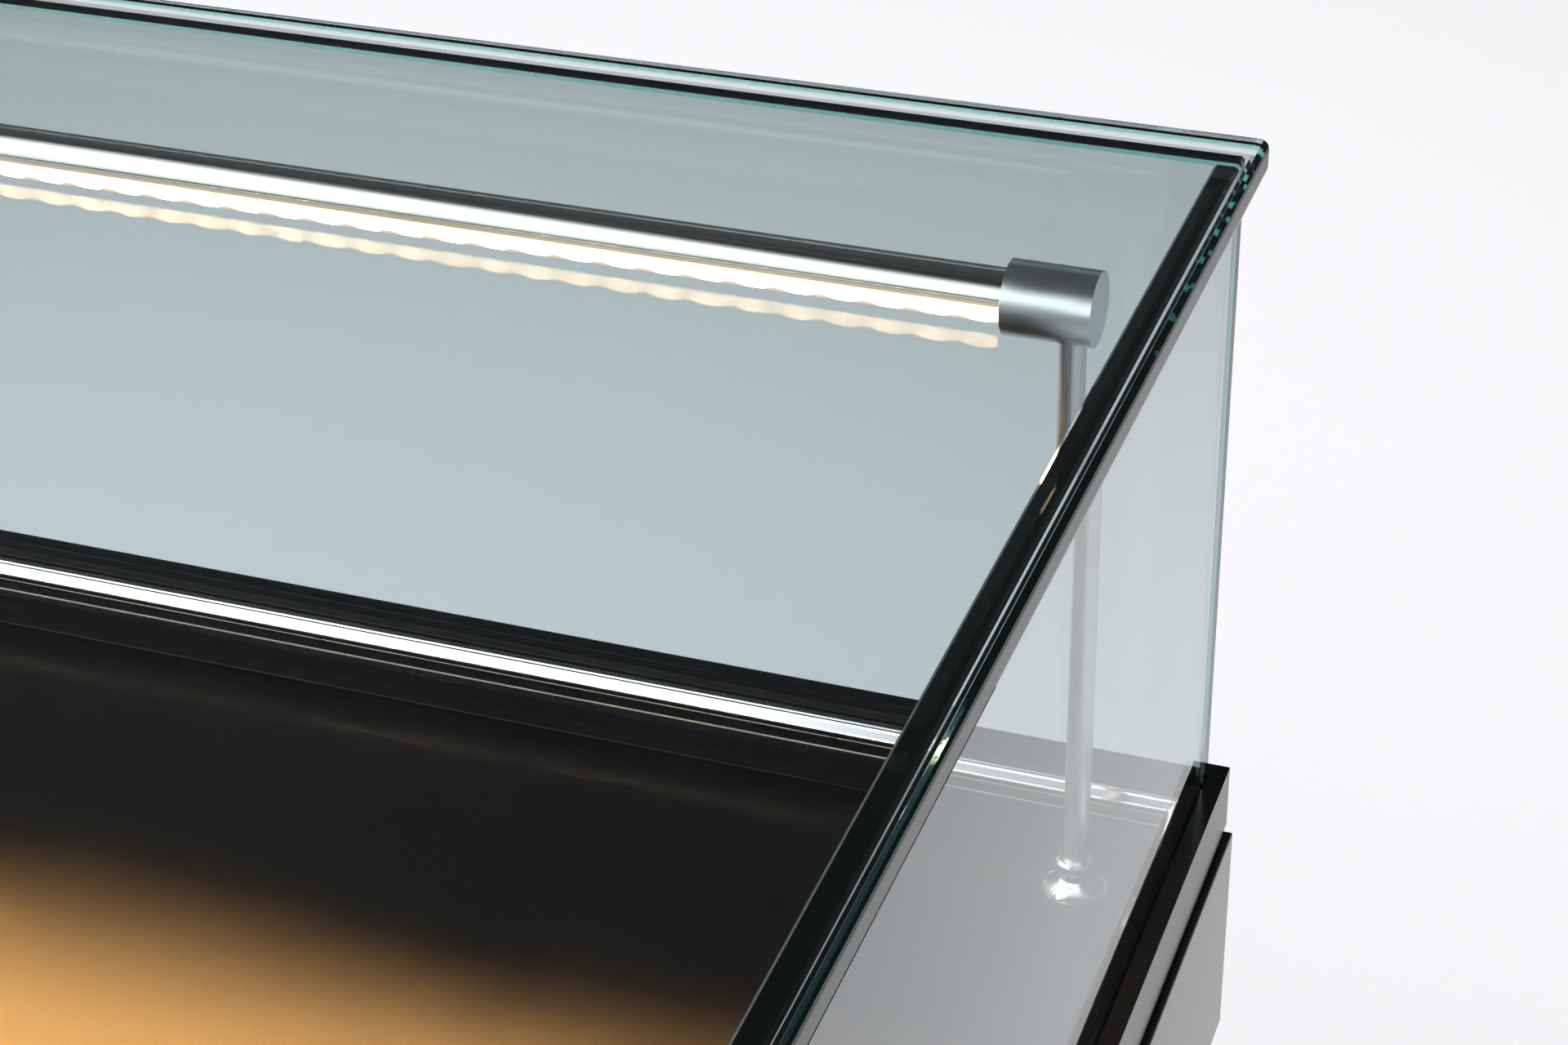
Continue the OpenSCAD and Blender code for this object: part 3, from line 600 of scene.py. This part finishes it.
def make_welds():
    low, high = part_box("side_stretchers")
    leg_low, leg_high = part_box("leg_customer_right")
    x0 = (leg_low[0] + leg_high[0]) / 2
    z0 = (low[2] + high[2]) / 2
    half = (high[2] - low[2]) / 2
    around = []
    for turn in range(4):
        for step in range(WELD_RIPPLES):
            along = 2.0 * step / WELD_RIPPLES - 1.0
            around.append(((along, 1), (1, -along), (-along, -1), (-1, along))[turn])
    points, faces = [], []
    for sx in (-1, 1):
        for sy in (-1, 1):
            start = len(points)
            for ring, (a, b) in enumerate(around):
                leg = WELD_LEG * (1 - WELD_DIP * (1 - ring % 2))
                for out, back in weld_section(leg):
                    reach = half + out
                    points.append((sx * x0 + a * reach, sy * (high[1] - back), z0 + b * reach))
            for corners in ring_faces(len(around), 4, True):
                faces.append(tuple(start + corner for corner in corners))
    mesh_piece("weld_beads", points, faces, "stand_black", "case")


make_welds()

# ---------------------------------------------------------------- studio

FLOOR_REACH = 14.0
FLOOR_GAP = 0.5 * MM
FLOOR_ALBEDO = (0.60, 0.62)
# The floor's own light near and far, and from where to where it fades: as the camera sees it,
# and as glass and metal see it
GLOW_CENTRE_X = -0.7
GLOW_SEEN = (0.70, 0.46, 1.3, 3.6)
GLOW_MIRRORED = (0.74, 0.02, 1.3, 3.2)
BACKDROP = (0.90, 0.905, 0.935, 1.0)
LAMP_COLOUR = (0.985, 0.99, 1.0, 1.0)
SOFTBOX_STRENGTH = 3.2
# The softbox's lower edge and the softness of it, its upper edge left and right, and half its softness
SOFTBOX_BOTTOM = math.radians(3)
SOFTBOX_BOTTOM_FADE = 0.12
SOFTBOX_TOP_LEFT = math.radians(82)
SOFTBOX_TOP_RIGHT = math.radians(44)
SOFTBOX_TURN = (-0.50, -0.20)
SOFTBOX_TOP_FADE = 0.30
ROOM_STRENGTH = 0.035
HORIZON_STRENGTH = 0.85
HORIZON_HEIGHT = (0.02, 0.28)
HORIZON_DEPTH = (0.0, 0.5)


def make_floor():
    bpy.ops.mesh.primitive_plane_add(size=2 * FLOOR_REACH, location=(0, 0, cad_low[2] - FLOOR_GAP))
    floor = bpy.context.active_object
    floor.name = "studio_floor"
    material, tree = new_material("studio_floor")
    cloud = spread(tree, noise(tree, 0.6, detail=2.0), *FLOOR_ALBEDO)
    shade = add(tree, "ShaderNodeCombineColor", {0: cloud, 1: cloud, 2: cloud}).outputs[0]
    reach = add(tree, "ShaderNodeVectorMath", {0: object_point(tree), 1: (GLOW_CENTRE_X, 0, 0)},
                operation="DISTANCE").outputs["Value"]
    seen = add(tree, "ShaderNodeLightPath").outputs["Is Camera Ray"]
    glow = add(tree, "ShaderNodeMix", {0: seen, 2: spread(tree, reach, *GLOW_MIRRORED),
                                       3: spread(tree, reach, *GLOW_SEEN)}).outputs[0]
    surface = add(tree, "ShaderNodeBsdfPrincipled",
                  {"Base Color": shade, "Roughness": 0.9, "Specular IOR Level": 0.0,
                   "Emission Color": BACKDROP, "Emission Strength": glow})
    finish_material(tree, surface.outputs[0])
    floor.data.materials.append(material)


def make_world():
    """A white wall and ceiling of light on the staff side, a dark room on the customer side."""
    world = bpy.data.worlds.new("studio")
    bpy.context.scene.world = world
    world.use_nodes = True
    tree = world.node_tree
    tree.nodes.clear()
    toward = add(tree, "ShaderNodeSeparateXYZ", {0: add(tree, "ShaderNodeTexCoord").outputs["Generated"]})
    side, depth, height = toward.outputs[0], toward.outputs[1], toward.outputs[2]
    # The angle up from the staff-side horizon, over the top and down to the customer side
    angle = math_node(tree, "ARCTAN2", height, math_node(tree, "MULTIPLY", depth, -1.0))
    limit = spread(tree, side, SOFTBOX_TOP_LEFT, SOFTBOX_TOP_RIGHT, *SOFTBOX_TURN)
    above = math_node(tree, "SUBTRACT", angle, limit)
    upper_edge = spread(tree, above, 1.0, 0.0, -SOFTBOX_TOP_FADE, SOFTBOX_TOP_FADE, "SMOOTHSTEP")
    lower_edge = spread(tree, angle, 0.0, 1.0, SOFTBOX_BOTTOM, SOFTBOX_BOTTOM + SOFTBOX_BOTTOM_FADE,
                        "SMOOTHSTEP")
    lit = math_node(tree, "MULTIPLY", upper_edge, lower_edge)
    softbox = add(tree, "ShaderNodeMath", {0: lit, 1: SOFTBOX_STRENGTH, 2: ROOM_STRENGTH},
                  operation="MULTIPLY_ADD").outputs[0]
    horizon = spread(tree, height, HORIZON_STRENGTH, 0.0, *HORIZON_HEIGHT, "SMOOTHSTEP")
    staff_side = spread(tree, depth, 1.0, 0.0, *HORIZON_DEPTH)
    room = math_node(tree, "MAXIMUM", softbox, math_node(tree, "MULTIPLY", horizon, staff_side))
    lamp = add(tree, "ShaderNodeBackground", {"Color": LAMP_COLOUR, "Strength": room})
    paper = add(tree, "ShaderNodeBackground", {"Color": BACKDROP, "Strength": 1.0})
    mix = add(tree, "ShaderNodeMixShader", {0: add(tree, "ShaderNodeLightPath").outputs["Is Camera Ray"]})
    tree.links.new(lamp.outputs[0], mix.inputs[1])
    tree.links.new(paper.outputs[0], mix.inputs[2])
    out = add(tree, "ShaderNodeOutputWorld")
    tree.links.new(mix.outputs[0], out.inputs["Surface"])


make_floor()
make_world()

scene = bpy.context.scene
scene.view_settings.view_transform = "Standard"
scene.view_settings.look = "None"
scene.cycles.max_bounces = 32
scene.cycles.transmission_bounces = 32
scene.cycles.glossy_bounces = 12
scene.cycles.diffuse_bounces = 4
scene.cycles.transparent_max_bounces = 16
scene.cycles.use_denoising = True
scene.cycles.sample_clamp_indirect = 60.0
